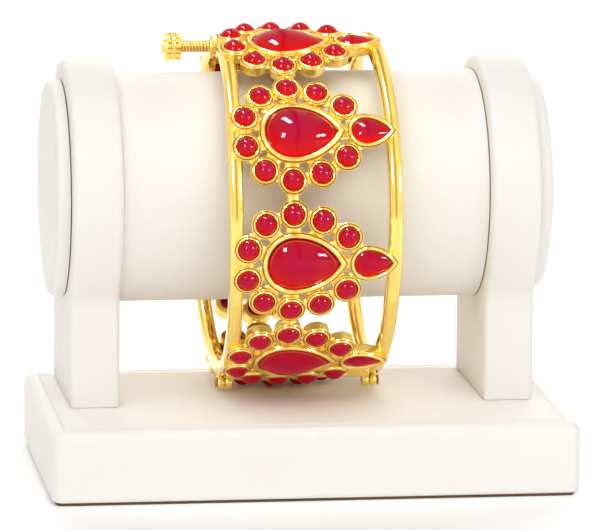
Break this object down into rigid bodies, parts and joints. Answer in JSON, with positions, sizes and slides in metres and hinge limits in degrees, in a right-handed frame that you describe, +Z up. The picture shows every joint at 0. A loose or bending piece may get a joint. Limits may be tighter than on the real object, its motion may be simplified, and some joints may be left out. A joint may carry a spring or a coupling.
{
  "type": "hinged stone-set bangle on its display roll stand",
  "caption": "Openable bangle of two hinged half rings with a screw clasp, set with flower motifs of red cabochons, standing round the roll of a plain covered stand.",
  "frame": {"origin": "middle of the stand base's bottom face", "axes": "+X along the roll and the bangle's axis to the right, +Y to the back, +Z up; the front is -Y"},
  "size_m": [0.1006, 0.078, 0.0853],
  "materials": {
    "gold_plate": "polished gold plate",
    "red_stone": "polished red glass cabochons, dark and barely translucent",
    "cream_cover": "matt cream imitation leather with a fine grain"
  },
  "bodies": {
    "stand_and_back_half": {"stand_base": "cream_cover", "left_post": "cream_cover", "right_post": "cream_cover", "display_roll": "cream_cover", "left_disc": "cream_cover", "right_disc": "cream_cover", "back_frame": "gold_plate", "hinge_pin_left": "gold_plate", "hinge_pin_right": "gold_plate", "back_round_stones": "red_stone", "pear_stone_5": "red_stone", "pear_stone_6": "red_stone", "pear_stone_7": "red_stone", "pear_stone_8": "red_stone", "drop_stone_5": "red_stone", "drop_stone_6": "red_stone", "drop_stone_7": "red_stone", "drop_stone_8": "red_stone"},
    "front_half": {"front_frame": "gold_plate", "front_round_stones": "red_stone", "pear_stone_1": "red_stone", "pear_stone_2": "red_stone", "pear_stone_3": "red_stone", "pear_stone_4": "red_stone", "drop_stone_1": "red_stone", "drop_stone_2": "red_stone", "drop_stone_3": "red_stone", "drop_stone_4": "red_stone"},
    "screw": {"clasp_screw": "gold_plate"}
  },
  "joints": [
    {"name": "bangle_hinge", "type": "hinge", "parent": "stand_and_back_half", "child": "front_half", "pos_m": [0, 0.00492, 0.01622], "axis": [1, 0, 0], "range_deg": [0, 23]},
    {"name": "screw_travel", "type": "slide", "parent": "stand_and_back_half", "child": "screw", "axis": [1, 0, 0], "range_m": [0, 0.0054]}
  ]
}
